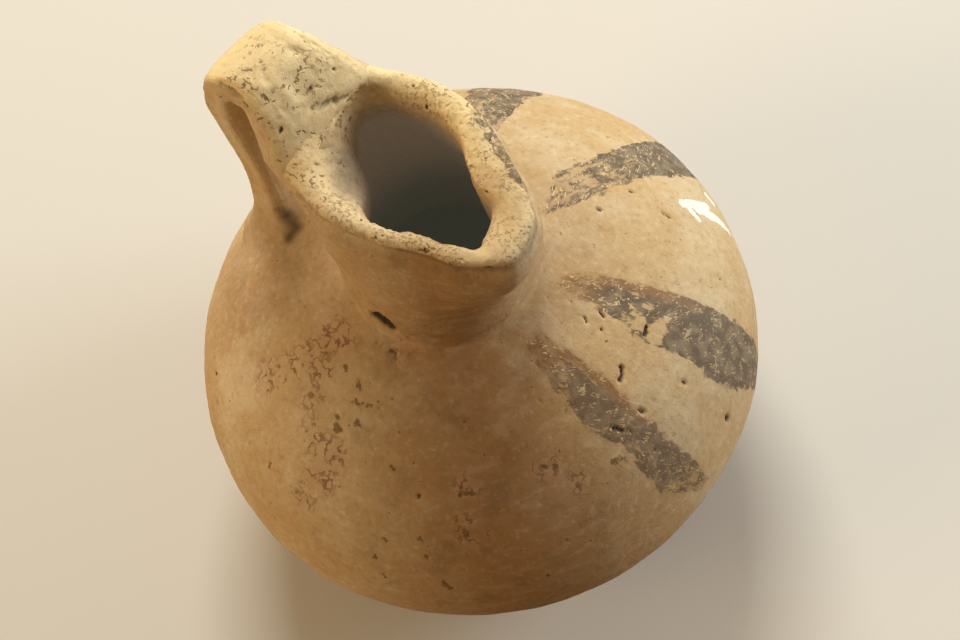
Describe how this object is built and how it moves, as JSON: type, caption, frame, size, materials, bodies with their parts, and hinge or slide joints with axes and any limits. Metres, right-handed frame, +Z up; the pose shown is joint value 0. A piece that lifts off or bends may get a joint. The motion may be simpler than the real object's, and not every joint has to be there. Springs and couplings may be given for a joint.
{
  "type": "juglet",
  "caption": "Squat round-bellied clay juglet with a short neck, a pinched pear-shaped mouth and one high strap handle, painted with dark stripes fanning down the shoulder.",
  "frame": {"origin": "centre of the flat resting face, on the axis of the round body", "axes": "+Z up along the body's axis, +X towards the spout, the handle towards -X"},
  "size_m": [0.1, 0.1, 0.102],
  "materials": {
    "buff_clay": "matt fired clay, smoothed by hand, with dark painted stripes and worn pits",
    "rim_clay": "matt fired clay, paler and rubbed on the lip and the handle",
    "neck_clay": "matt fired clay with faint turning lines"
  },
  "bodies": {
    "root": {"lower_body": "buff_clay", "upper_body": "buff_clay", "neck": "neck_clay", "mouth_band": "rim_clay", "strap_handle": "rim_clay", "upper_handle_wad": "rim_clay", "lower_handle_wad": "buff_clay"}
  },
  "joints": []
}
